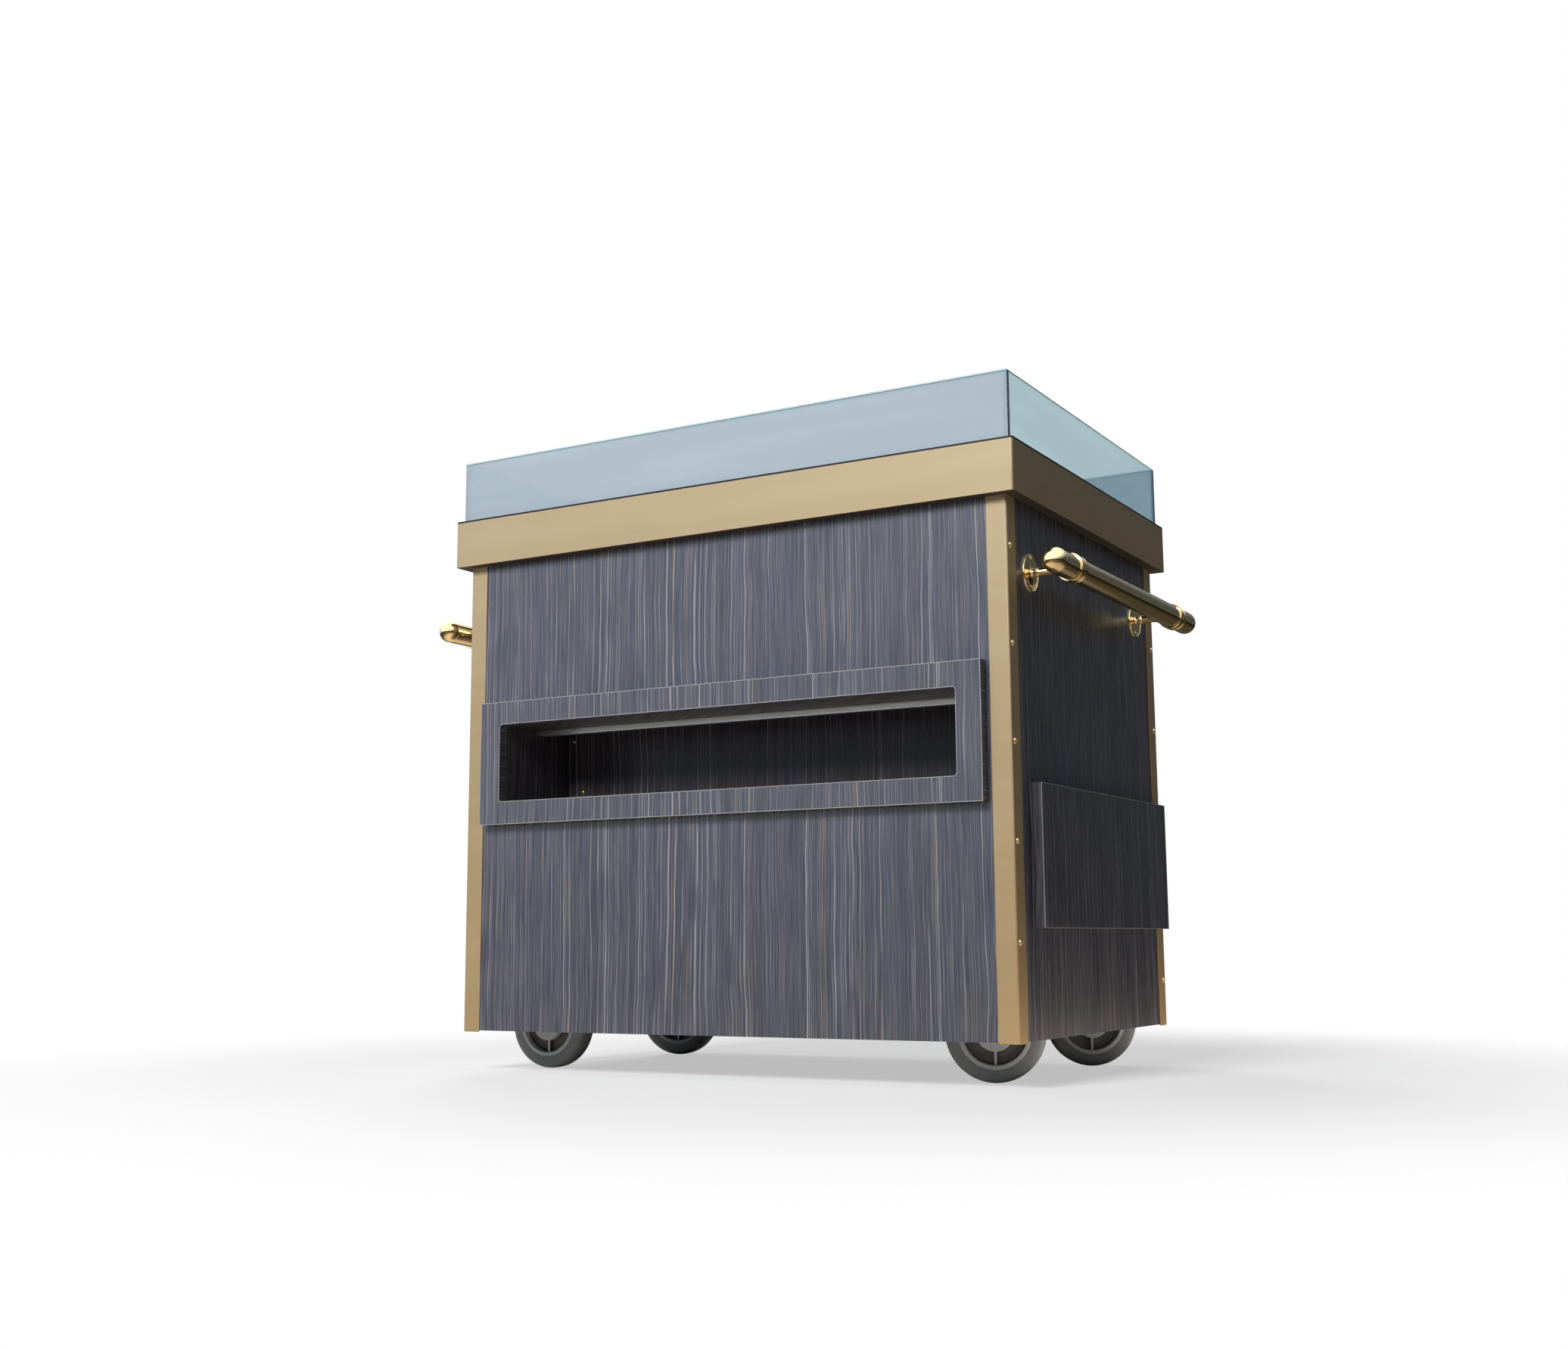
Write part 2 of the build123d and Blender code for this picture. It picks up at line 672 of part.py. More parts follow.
def caster_core(axle_plane):
    """Moulded wheel centre: rim, thin web, hub, and ribs on both sides of the web."""
    with BuildPart() as core:
        with BuildSketch(axle_plane):
            RegularPolygon(tyre_inner_radius, tyre_key_sides)
            RegularPolygon(rim_inner_radius, rim_sides, mode=Mode.SUBTRACT)
        extrude(amount=rim_width / 2, both=True)
        with BuildSketch(axle_plane):
            RegularPolygon(rim_inner_radius, rim_sides)
        extrude(amount=web_thickness / 2, both=True)
        with BuildSketch(axle_plane):
            with PolarLocations((hub_radius + rim_inner_radius) / 2, rib_count, start_angle=-90):
                Rectangle(rim_inner_radius - hub_radius + rib_width, rib_width)
        extrude(amount=rib_depth / 2, both=True)
        with BuildSketch(axle_plane):
            RegularPolygon(hub_radius, hub_sides)
        extrude(amount=hub_width / 2, both=True)
        with BuildSketch(axle_plane):
            Circle(spacer_radius + running_gap)
        extrude(amount=hub_width, both=True, mode=Mode.SUBTRACT)
    return core


for corner, (swivel_x, swivel_y) in caster_corners.items():
    swing = radians(caster_swing_degrees[corner])
    swivel = Plane(origin=(swivel_x, swivel_y, 0), x_dir=(cos(swing), sin(swing), 0), z_dir=(0, 0, 1))
    hub = (swivel_x + trail * cos(swing), swivel_y + trail * sin(swing), wheel_radius)
    axle_plane = Plane(origin=hub, x_dir=swivel.x_dir, z_dir=swivel.y_dir)
    save(caster_fork(swivel, axle_plane), f"caster_fork_{corner}")
    save(caster_tyre(axle_plane), f"caster_tyre_{corner}")
    save(caster_core(axle_plane), f"caster_core_{corner}")
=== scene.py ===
import json
from itertools import product
from math import cos, pi, radians, sin

import bpy
from mathutils import Matrix, Vector


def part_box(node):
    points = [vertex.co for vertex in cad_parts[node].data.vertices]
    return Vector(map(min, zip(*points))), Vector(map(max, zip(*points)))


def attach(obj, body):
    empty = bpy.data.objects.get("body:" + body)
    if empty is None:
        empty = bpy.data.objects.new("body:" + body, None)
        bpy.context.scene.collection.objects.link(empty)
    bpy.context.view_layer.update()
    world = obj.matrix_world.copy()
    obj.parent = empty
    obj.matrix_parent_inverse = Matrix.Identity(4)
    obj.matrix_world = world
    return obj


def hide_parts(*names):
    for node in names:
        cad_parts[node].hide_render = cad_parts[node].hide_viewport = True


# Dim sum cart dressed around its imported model. Metres, origin on the floor, the niche faces -Y.
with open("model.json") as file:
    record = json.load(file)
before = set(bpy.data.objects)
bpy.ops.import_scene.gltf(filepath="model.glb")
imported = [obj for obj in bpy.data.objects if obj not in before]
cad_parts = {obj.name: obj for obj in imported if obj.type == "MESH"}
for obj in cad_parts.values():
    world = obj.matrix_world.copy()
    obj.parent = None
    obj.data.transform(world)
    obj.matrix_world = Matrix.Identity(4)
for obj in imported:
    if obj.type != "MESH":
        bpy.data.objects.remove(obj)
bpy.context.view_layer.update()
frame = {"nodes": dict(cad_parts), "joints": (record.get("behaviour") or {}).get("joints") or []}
scene = bpy.context.scene
scene.view_settings.view_transform = "Standard"

# Camera: the photographer crouched at the front right corner and looked slightly up, so the horizon
# lies below the middle of the picture.
camera_place = (1.4814, -2.6792, 0.2092)
camera_yaw = radians(29.971)
camera_tilt = radians(90 + 8.546)
camera_roll = radians(-0.389)
camera = bpy.data.objects.new("camera", bpy.data.cameras.new("camera"))
scene.collection.objects.link(camera)
camera.data.lens = 40.80
camera.data.sensor_width = 36.0
camera.matrix_world = (
    Matrix.Translation(camera_place)
    @ Matrix.Rotation(camera_yaw, 4, "Z")
    @ Matrix.Rotation(camera_tilt, 4, "X")
    @ Matrix.Rotation(camera_roll, 4, "Z")
)
scene.camera = camera

# Studio: one broad soft lamp high in front and a weaker one behind on the left, in a room that the
# camera and the glass see as plain white. Polished pieces see it bright overhead, in front and on
# the left, and dark low on the right. The right side gets its light from the room and the floor.


def add_node(tree, kind, inputs=None, **settings):
    """Adds one shader node. Its inputs are plain values or the outputs of other nodes."""
    made = tree.nodes.new("ShaderNode" + kind)
    for name, value in settings.items():
        setattr(made, name, value)
    for socket, value in (inputs or {}).items():
        if isinstance(value, bpy.types.NodeSocket):
            tree.links.new(value, made.inputs[socket])
        else:
            made.inputs[socket].default_value = value
    return made


def calc(tree, operation, first, second=0.0, clamp=False):
    """One Math node, as a socket to link on."""
    made = add_node(tree, "Math", {0: first, 1: second}, operation=operation, use_clamp=clamp)
    return made.outputs[0]


def blend_colours(tree, share, low, high):
    """A colour between two others; each is a colour or a socket."""
    made = add_node(tree, "Mix", {"Factor": share, 6: low, 7: high}, data_type="RGBA")
    return made.outputs[2]


def spread(tree, value, low, high, to_low=0.0, to_high=1.0, curve="LINEAR"):
    """Stretches a value between two others, and holds it there."""
    ends = {0: value, 1: low, 2: high, 3: to_low, 4: to_high}
    return add_node(tree, "MapRange", ends, interpolation_type=curve).outputs[0]


studio_centre = Vector((0.0, 0.0, 0.5))
lamps = {
    "front_lamp": ((-0.15, -4.7, 3.3), 2.0, 208.0),
    "back_lamp": ((-3.5, 3.8, 2.4), 2.4, 130.0),
}
for lamp_name, (place, lamp_size, watts) in lamps.items():
    lamp = bpy.data.objects.new(lamp_name, bpy.data.lights.new(lamp_name, "AREA"))
    lamp.data.shape = "DISK"
    lamp.data.size = lamp_size
    lamp.data.energy = watts
    lamp.location = place
    lamp.rotation_euler = (studio_centre - lamp.location).to_track_quat("-Z", "Y").to_euler()
    lamp.visible_camera = False
    lamp.visible_transmission = False
    scene.collection.objects.link(lamp)

room_light = 0.028
room_dark = 0.11
room_bright = 2.0
dark_below = -0.5
bright_above = 2.4
rise_overhead = 3.4
fall_to_right = 0.6
fall_to_back = 1.3
sky_tint = (0.76, 0.88, 1.0, 1.0)
white = (1.0, 1.0, 1.0, 1.0)
world = bpy.data.worlds.new("studio")
world.use_nodes = True
scene.world = world
air = world.node_tree
air.nodes.clear()
light_path = add_node(air, "LightPath").outputs
white_rays = calc(air, "MAXIMUM", light_path["Is Camera Ray"], light_path["Is Transmission Ray"])
shiny_ray = light_path["Is Glossy Ray"]
outlook = add_node(air, "SeparateXYZ", {0: add_node(air, "TexCoord").outputs["Generated"]}).outputs
overhead = calc(air, "MULTIPLY", outlook["Z"], rise_overhead)
to_right = calc(air, "MULTIPLY", outlook["X"], fall_to_right)
to_back = calc(air, "MULTIPLY", outlook["Y"], fall_to_back)
openness = calc(air, "SUBTRACT", overhead, calc(air, "ADD", to_right, to_back))
reflected = spread(
    air, openness, dark_below, bright_above, room_dark, room_bright, curve="SMOOTHSTEP"
)
shine = calc(air, "MULTIPLY", shiny_ray, reflected)
dim = calc(air, "MULTIPLY", calc(air, "SUBTRACT", 1.0, shiny_ray), room_light)
strength = calc(air, "MAXIMUM", white_rays, calc(air, "ADD", shine, dim))
tint = blend_colours(air, white_rays, sky_tint, white)
sky = add_node(air, "Background", {0: tint, 1: strength})
add_node(air, "OutputWorld", {0: sky.outputs[0]})

# Floor: a plain white studio floor that keeps the shadow near the cart and is pure white further
# off. It throws a warm light back on the cart from close by. Beside the right side a strip of it
# glows, for matt surfaces alone, so that this light is strongest low down there.
floor_half = 30.0
shadow_reach = (0.7, 1.7)
white_near = 0.5
bounce_reach = (1.0, 2.0)
bounce_near = (0.95, 0.85, 0.74, 1.0)
bounce_far = (0.32, 0.29, 0.26, 1.0)
mirror_near = (1.5, 1.35, 1.15, 1.0)
mirror_far = (0.22, 0.20, 0.15, 1.0)
seen_tone = (1.2, 1.2, 1.2, 1.0)
glow_tone = (1.0, 0.84, 0.66, 1.0)
glow_strength = 2.8
glow_from_x = 0.52
glow_full_x = 0.54
glow_end_x = 0.74
glow_half_length = 0.45
floor_corners = [(-1, -1), (1, -1), (1, 1), (-1, 1)]
floor_mesh = bpy.data.meshes.new("floor")
floor_mesh.from_pydata(
    [(x * floor_half, y * floor_half, 0) for x, y in floor_corners], [], [(0, 1, 2, 3)]
)
floor = bpy.data.objects.new("floor", floor_mesh)
scene.collection.objects.link(floor)
floor_paint = bpy.data.materials.new("floor paint")
floor_paint.use_nodes = True
ground = floor_paint.node_tree
ground.nodes.clear()
ground_place = add_node(ground, "TexCoord").outputs["Object"]
distance = add_node(ground, "VectorMath", {0: ground_place}, operation="LENGTH").outputs["Value"]
ray_kind = add_node(ground, "LightPath").outputs
mirrored = ray_kind["Is Glossy Ray"]
seen = ray_kind["Is Camera Ray"]
near_tone = blend_colours(ground, mirrored, bounce_near, mirror_near)
far_tone = blend_colours(ground, mirrored, bounce_far, mirror_far)
ground_tone = blend_colours(ground, spread(ground, distance, *bounce_reach), near_tone, far_tone)
ground_tone = blend_colours(ground, seen, ground_tone, seen_tone)
matt = add_node(ground, "BsdfDiffuse", {0: ground_tone}).outputs[0]
pure_white = add_node(ground, "Emission", {0: white, 1: 1.0}).outputs[0]
fade = spread(ground, distance, *shadow_reach, white_near, 1.0, curve="SMOOTHSTEP")
white_share = calc(ground, "MULTIPLY", fade, seen)
plain_floor = add_node(ground, "MixShader", {0: white_share, 1: matt, 2: pure_white}).outputs[0]
ground_axes = add_node(ground, "SeparateXYZ", {0: ground_place}).outputs
beside = spread(ground, ground_axes["X"], glow_end_x, glow_full_x)
outside = calc(ground, "GREATER_THAN", ground_axes["X"], glow_from_x)
in_line = calc(ground, "LESS_THAN", calc(ground, "ABSOLUTE", ground_axes["Y"]), glow_half_length)
strip = calc(ground, "MULTIPLY", calc(ground, "MULTIPLY", beside, outside), in_line)
strip = calc(ground, "MULTIPLY", strip, ray_kind["Is Diffuse Ray"])
strip = calc(ground, "MULTIPLY", strip, glow_strength)
thrown = add_node(ground, "Emission", {0: glow_tone, 1: strip}).outputs[0]
whole_floor = add_node(ground, "AddShader", {0: plain_floor, 1: thrown}).outputs[0]
add_node(ground, "OutputMaterial", {0: whole_floor})
floor.data.materials.append(floor_paint)

# Cabinet panels: four 12 mm boards faced with dark grey-blue laminate, screwed on behind the corner
# trims. The laminate is a print: thin pale upright lines that waver and break off, over a ground
# with soft darker and paler bands.


def new_finish(name, roughness, metallic=0.0):
    """A material with one main shader; returns it with its node tree and the shader's inputs."""
    material = bpy.data.materials.new(name)
    material.use_nodes = True
    shader = material.node_tree.nodes["Principled BSDF"]
    shader.inputs["Roughness"].default_value = roughness
    shader.inputs["Metallic"].default_value = metallic
    return material, material.node_tree, shader.inputs


def surface_place(tree):
    """Where a point of the surface lies, in metres."""
    return add_node(tree, "TexCoord").outputs["Object"]


def surface_facing(tree, axis):
    """How far the surface faces along an axis, from -1 to 1."""
    normal = add_node(tree, "NewGeometry").outputs["True Normal"]
    return add_node(tree, "SeparateXYZ", {0: normal}).outputs[axis]


def faces_sideways(tree):
    """1 where the surface faces left or right, and 0 elsewhere."""
    return calc(tree, "GREATER_THAN", calc(tree, "ABSOLUTE", surface_facing(tree, "X")), 0.5)


def noise(tree, vector, scale, detail=3.0):
    """Soft noise from 0 to 1 along a vector."""
    made = add_node(tree, "TexNoise", {"Vector": vector, "Scale": scale, "Detail": detail})
    return made.outputs["Fac"]


def grain_noise(tree, across, along, across_scale, along_scale, detail=3.0):
    """Soft noise with its own scale across the grain and along it."""
    scaled = {
        0: calc(tree, "MULTIPLY", across, across_scale),
        1: calc(tree, "MULTIPLY", along, along_scale),
    }
    return noise(tree, add_node(tree, "CombineXYZ", scaled).outputs[0], 1.0, detail)


def tone(tree, inputs, share, low, high):
    """Colours the surface between two tones."""
    tree.links.new(blend_colours(tree, share, low, high), inputs["Base Color"])


def relief(tree, inputs, height, depth, strength=0.5):
    """Lets a height move the surface's normal by a real depth in metres."""
    bump = add_node(tree, "Bump", {"Strength": strength, "Distance": depth, "Height": height})
    tree.links.new(bump.outputs[0], inputs["Normal"])


def grain_place(tree, along_ends=False):
    """Where a point lies across the grain (X and Y together) and along it (Z)."""
    place = add_node(tree, "SeparateXYZ", {0: surface_place(tree)}).outputs
    across = calc(tree, "ADD", place["X"], place["Y"])
    along = place["Z"]
    if not along_ends:
        return across, along
    is_end = faces_sideways(tree)
    swapped_across = add_node(tree, "Mix", {0: is_end, 2: across, 3: along}).outputs[0]
    swapped_along = add_node(tree, "Mix", {0: is_end, 2: along, 3: across}).outputs[0]
    return swapped_across, swapped_along


def streaks(tree, across, along, per_metre, widest, gaps, lost):
    """Fine upright lines at random places, each with its own width and strength, broken along the
    grain. A share of them is lost, so that the spacing is uneven."""
    least_width = 0.35
    full_width = 1.8
    surely_kept = 0.85
    breaks_per_metre = 30.0
    gap_below = 0.34
    line_above = 0.56
    cells = add_node(
        tree, "TexVoronoi", {"W": across, "Scale": per_metre},
        voronoi_dimensions="1D", feature="F1",
    ).outputs
    luck = add_node(tree, "SeparateColor", {0: cells["Color"]}).outputs
    width = calc(tree, "MULTIPLY", calc(tree, "ADD", luck[0], least_width), widest * per_metre)
    off_line = calc(tree, "DIVIDE", cells["Distance"], width)
    nearness = calc(tree, "SUBTRACT", 1.0, off_line, clamp=True)
    line = calc(tree, "MULTIPLY", nearness, full_width, clamp=True)
    strength = spread(tree, luck[1], lost, surely_kept)
    broken = grain_noise(tree, across, along, breaks_per_metre, gaps)
    broken = spread(tree, broken, gap_below, line_above)
    return calc(tree, "MULTIPLY", calc(tree, "MULTIPLY", line, strength), broken)


def laminate(name, ground_colour, streak_colour, along_ends=False, sheen=0.45):
    """Dark printed laminate with pale upright grain, slightly wavering, under a satin face."""
    drift_reach = 0.018
    waver_reach = 0.0055
    fine_share = 0.60
    hair_share = 0.22
    warming = (1.12, 0.97, 0.86)
    print_depth = 0.00008
    material, tree, inputs = new_finish(name, 0.3)
    across, along = grain_place(tree, along_ends)
    drift = grain_noise(tree, across, along, 6.0, 2.4, detail=1.5)
    waver = grain_noise(tree, across, along, 9.0, 11.0, detail=1.0)
    for wander, reach in ((drift, drift_reach), (waver, waver_reach)):
        shift = calc(tree, "MULTIPLY", calc(tree, "SUBTRACT", wander, 0.5), reach)
        across = calc(tree, "ADD", across, shift)
    bold = streaks(tree, across, along, per_metre=75.0, widest=0.0008, gaps=5.0, lost=0.20)
    fine = streaks(tree, across, along, per_metre=300.0, widest=0.0005, gaps=9.0, lost=0.15)
    hair = spread(tree, grain_noise(tree, across, along, 900.0, 9.0, detail=2.0), 0.42, 0.75)
    bands = grain_noise(tree, across, along, 22.0, 0.8, detail=4.0)
    bands = spread(tree, bands, 0.3, 0.7, to_low=0.78, to_high=1.18)
    faint = calc(
        tree, "ADD",
        calc(tree, "MULTIPLY", fine, fine_share), calc(tree, "MULTIPLY", hair, hair_share),
    )
    lines = calc(tree, "ADD", bold, faint, clamp=True)
    banded = add_node(
        tree, "VectorMath", {0: ground_colour[:3], "Scale": bands}, operation="SCALE"
    ).outputs[0]
    warmth = spread(tree, grain_noise(tree, across, along, 55.0, 0.0, detail=1.0), 0.45, 0.6)
    warm_streak = (*(level * share for level, share in zip(streak_colour, warming)), 1.0)
    tone(tree, inputs, lines, banded, blend_colours(tree, warmth, streak_colour, warm_streak))
    tree.links.new(spread(tree, hair, 0.0, 1.0, 0.27, 0.36), inputs["Roughness"])
    inputs["Specular IOR Level"].default_value = sheen
    relief(tree, inputs, lines, print_depth)
    return material


def dress(material, *node_names):
    """Gives CAD pieces their material."""
    for name in node_names:
        node_mesh = frame["nodes"][name].data
        node_mesh.materials.clear()
        node_mesh.materials.append(material)


laminate_ground = (0.048, 0.051, 0.079, 1.0)
laminate_streak = (0.50, 0.50, 0.55, 1.0)
panel_face = laminate("panel laminate", laminate_ground, laminate_streak)
dress(panel_face, "front_panel", "back_panel", "left_panel", "right_panel")

# Corner trims and the apron round the top: 2 mm folded sheet, sprayed a satin champagne gold. The
# spray is slightly uneven, the gold is painted deeper toward the floor as shade, the undersides are
# painted near black as shade, and the folds are soft.


def drawn_noise(tree, place, scales, detail):
    """Soft noise with its own scale along X, Y and Z, as brushing, spraying and wood have."""
    scaled = add_node(tree, "Mapping", {0: place, 3: scales}).outputs[0]
    return noise(tree, scaled, 1.0, detail)


def soften(width, *node_names):
    """Rounds the sharp edges of CAD pieces a little, as sanding or folding does."""
    for name in node_names:
        piece = frame["nodes"][name]
        weld = piece.modifiers.new("joined faces", "WELD")
        weld.merge_threshold = 0.00001
        bevel = piece.modifiers.new("soft edges", "BEVEL")
        bevel.width = width
        bevel.segments = 2
        bevel.limit_method = "ANGLE"
        bevel.angle_limit = radians(50)


gold_deep = (0.450, 0.318, 0.160, 1.0)
gold_pale = (0.555, 0.440, 0.270, 1.0)
gold_painted_under_shade = (0.080, 0.060, 0.040, 1.0)
painted_shade_deepest_z = 0.1
painted_shade_palest_z = 0.95
painted_shade_lift = 0.9
cloudiness = 0.6
faces_down = -0.7
fold_radius = 0.0012
gold_paint, tree, inputs = new_finish("champagne paint", 0.45, 0.1)
place = surface_place(tree)
sprayed = noise(tree, place, 7.0, 2.0)
passes = drawn_noise(tree, place, (1.5, 1.5, 40.0), 2.0)
uneven = calc(tree, "SUBTRACT", calc(tree, "ADD", sprayed, passes), 1.0)
height = add_node(tree, "SeparateXYZ", {0: place}).outputs["Z"]
# Painted shade: the gold is deeper and darker low down and paler high up, by height alone.
paler = spread(tree, height, painted_shade_deepest_z, painted_shade_palest_z, 0.0, painted_shade_lift)
cloud = calc(tree, "ADD", paler, calc(tree, "MULTIPLY", uneven, cloudiness), clamp=True)
# Painted shade: faces turned down are coloured near black.
under_painted_shade = calc(tree, "LESS_THAN", surface_facing(tree, "Z"), faces_down)
tone(tree, inputs, under_painted_shade, blend_colours(tree, cloud, gold_deep, gold_pale), gold_painted_under_shade)
inputs["Specular IOR Level"].default_value = 0.3
tree.links.new(spread(tree, sprayed, 0.3, 0.7, 0.40, 0.52), inputs["Roughness"])
relief(tree, inputs, noise(tree, place, 900.0, 1.0), 0.00004, 0.3)
trims = [f"corner_trim_{end}_{side}" for end in ("front", "back") for side in ("left", "right")]
dress(gold_paint, "fascia", *trims)
soften(fold_radius, "fascia", *trims)

# Trim screws: brass-plated round-head screws with a cross recess, five down each side flange. The
# back ones are set half a step lower than the front ones.


def gather(*shapes):
    """Joins shapes, each given as (points, faces) with the matrix that places it."""
    points = []
    faces = []
    for (shape_points, shape_faces), matrix in shapes:
        start = len(points)
        points.extend(matrix @ point for point in shape_points)
        faces.extend(tuple(start + corner for corner in face) for face in shape_faces)
    return points, faces


def add_piece(name, shape, material, body, sharp=30.0):
    """Makes a piece from points and faces, smooth but for its sharp edges, riding on a body."""
    mesh = bpy.data.meshes.new(name)
    mesh.from_pydata([tuple(point) for point in shape[0]], [], shape[1])
    mesh.update()
    for polygon in mesh.polygons:
        polygon.use_smooth = True
    mesh.set_sharp_from_angle(angle=radians(sharp))
    mesh.materials.append(material)
    piece = bpy.data.objects.new(name, mesh)
    scene.collection.objects.link(piece)
    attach(piece, body)
    return piece


def facing_matrix(place, direction, turn=0.0):
    """Puts a form made about Z at a place, with its Z along a direction."""
    turned = Vector(direction).to_track_quat("Z", "Y").to_matrix().to_4x4()
    return Matrix.Translation(place) @ turned @ Matrix.Rotation(turn, 4, "Z")


head_radius = 0.0046
head_height = 0.0024
dome_power = 2.6
cross_half_width = 0.00048
cross_reach = 0.0025
cross_depth = 0.0011


def screw_head(radius=head_radius, height=head_height, rings=14, segments=64):
    """A low dome with a cross-shaped recess pressed into it."""
    points = [Vector((0, 0, height - cross_depth))]
    faces = []
    for ring in range(1, rings + 1):
        share = ring / rings
        for step in range(segments):
            angle = 2 * pi * step / segments
            x, y = radius * share * cos(angle), radius * share * sin(angle)
            z = height * (1 - share**dome_power)
            near_arm, along_arm = sorted((abs(x), abs(y)))
            in_cross = near_arm < cross_half_width and along_arm < cross_reach
            points.append(Vector((x, y, z - cross_depth if in_cross else z)))
    for step in range(segments):
        after = (step + 1) % segments
        faces.append((0, 1 + step, 1 + after))
        for ring in range(rings - 1):
            inner, outer = 1 + ring * segments, 1 + (ring + 1) * segments
            faces.append((inner + step, outer + step, outer + after, inner + after))
    rim = 1 + (rings - 1) * segments
    faces.append(tuple(reversed(range(rim, rim + segments))))
    return points, faces


brass_clean = (0.85, 0.64, 0.33, 1.0)
brass_aged = (0.67, 0.49, 0.21, 1.0)
brass, tree, inputs = new_finish("polished brass", 0.08, 1.0)
place = surface_place(tree)
tarnish = noise(tree, place, 55.0, 4.0)
tone(tree, inputs, spread(tree, tarnish, 0.45, 0.75), brass_clean, brass_aged)
tree.links.new(spread(tree, tarnish, 0.3, 0.8, 0.04, 0.13), inputs["Roughness"])
relief(tree, inputs, noise(tree, place, 240.0, 2.0), 0.00003, 0.2)

trim_face_x = 0.5
turn_each = 0.7
screw_rows = {
    -0.3145: (0.780, 0.635, 0.492, 0.3485, 0.205),
    0.3146: (0.711, 0.568, 0.425, 0.282, 0.139),
}
trim_screws = []
for side in (-1, 1):
    for screw_y, heights in screw_rows.items():
        for number, screw_z in enumerate(heights):
            screw_place = (side * trim_face_x, screw_y, screw_z)
            turn = turn_each * number + screw_y
            trim_screws.append((screw_head(), facing_matrix(screw_place, (side, 0, 0), turn)))
add_piece("trim_screws", gather(*trim_screws), brass, "cart")

# Niche surround: a 19 mm board in the same laminate, with a long slot. A thin pale band covers each
# sawn edge, and the board's ends show the grain lying down.
surround_ground = (0.058, 0.062, 0.088, 1.0)
surround_face = laminate("surround laminate", surround_ground, laminate_streak, along_ends=True)
dress(surround_face, "niche_surround")
band_width = 0.0009
band_proud = 0.0002
band_sunk = 0.0006
band_corner = 0.0008
band_inner_corner = 0.0002


def rounded_outline(half_width, half_height, radius, steps=6):
    """Points round a rectangle with quarter-circle corners, anticlockwise."""
    outline = []
    for corner, (sx, sz) in enumerate(((1, 1), (-1, 1), (-1, -1), (1, -1))):
        centre = (sx * (half_width - radius), sz * (half_height - radius))
        for step in range(steps + 1):
            angle = pi / 2 * (corner + step / steps)
            outline.append((centre[0] + radius * cos(angle), centre[1] + radius * sin(angle)))
    return outline


def band_frame(outer, inner):
    """A flat band between two matching outlines, sunk in the board and a hair proud of it."""
    count = len(outer)
    points = [
        Vector((x, z, level)) for level in (-band_sunk, band_proud) for x, z in (*outer, *inner)
    ]
    faces = []
    for step in range(count):
        after = (step + 1) % count
        a, b, c, d = step, after, count + after, count + step
        up = 2 * count
        faces.append((a + up, b + up, c + up, d + up))
        faces.append((d, c, b, a))
        faces.append((a, b, b + up, a + up))
        faces.append((d + up, c + up, c, d))
    return points, faces


def board_band(half_width, half_height):
    """The band round the outer edge of a board."""
    outer = rounded_outline(half_width + band_proud, half_height + band_proud, band_corner)
    inner = rounded_outline(half_width - band_width, half_height - band_width, band_inner_corner)
    return band_frame(outer, inner)


slot_half = (0.42, 0.065)
slot_corner = 0.005
slot_band = band_frame(
    rounded_outline(slot_half[0] + band_width, slot_half[1] + band_width, slot_corner + band_width),
    rounded_outline(slot_half[0] - band_proud, slot_half[1] - band_proud, slot_corner),
)
low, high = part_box("niche_surround")
surround_middle = (0, low.y, (high.z + low.z) / 2)
front_facing = Matrix.Translation(surround_middle) @ Matrix.Rotation(pi / 2, 4, "X")
surround_bands = gather(
    (board_band((high.x - low.x) / 2, (high.z - low.z) / 2), front_facing),
    (slot_band, front_facing),
)
band_dull = (0.34, 0.35, 0.38, 1.0)
band_pale = (0.46, 0.46, 0.48, 1.0)
edge_band, tree, inputs = new_finish("pale edge band", 0.5)
band_noise = noise(tree, surface_place(tree), 60.0)
tone(tree, inputs, band_noise, band_dull, band_pale)
relief(tree, inputs, band_noise, 0.00005)
add_piece("surround_edge_bands", surround_bands, edge_band, "cart")

# Niche box and its back: thin boards glued round the slot, in the same laminate with less sheen,
# its ground and lines painted darker as shade. Two small brass screws hold each end of the back
# board.
# Painted shade: a darker ground and duller lines than the panels' laminate.
niche_shaded_ground = (0.046, 0.042, 0.056, 1.0)
niche_shaded_streak = (0.42, 0.41, 0.42, 1.0)
niche_shaded_face = laminate("niche laminate in painted shade", niche_shaded_ground, niche_shaded_streak, sheen=0.12)
dress(niche_shaded_face, "niche_box", "niche_back")
niche_back_y = -0.149
niche_screw_places = ((0.409, 0.562), (0.389, 0.472))
niche_turn = 0.4
niche_screws = []
for side in (-1, 1):
    for x, z in niche_screw_places:
        screw_matrix = facing_matrix((side * x, niche_back_y, z), (0, -1, 0), niche_turn * side)
        niche_screws.append((screw_head(radius=0.0038, height=0.0016), screw_matrix))
add_piece("niche_screws", gather(*niche_screws), brass, "cart")

# Niche rail: a grooved aluminium section under the niche's ceiling, brushed along its length and
# clear anodised. The doors' tracks have the same finish.
aluminium_dull = (0.80, 0.80, 0.79, 1.0)
aluminium_bright = (0.95, 0.95, 0.93, 1.0)
aluminium, tree, inputs = new_finish("anodised aluminium", 0.30, 0.95)
brushing = drawn_noise(tree, surface_place(tree), (0.8, 700.0, 700.0), 1.0)
tone(tree, inputs, brushing, aluminium_dull, aluminium_bright)
tree.links.new(spread(tree, brushing, 0.3, 0.7, 0.24, 0.36), inputs["Roughness"])
relief(tree, inputs, brushing, 0.00005, 0.3)
dress(aluminium, "niche_rail", "door_track_lower", "door_track_upper")

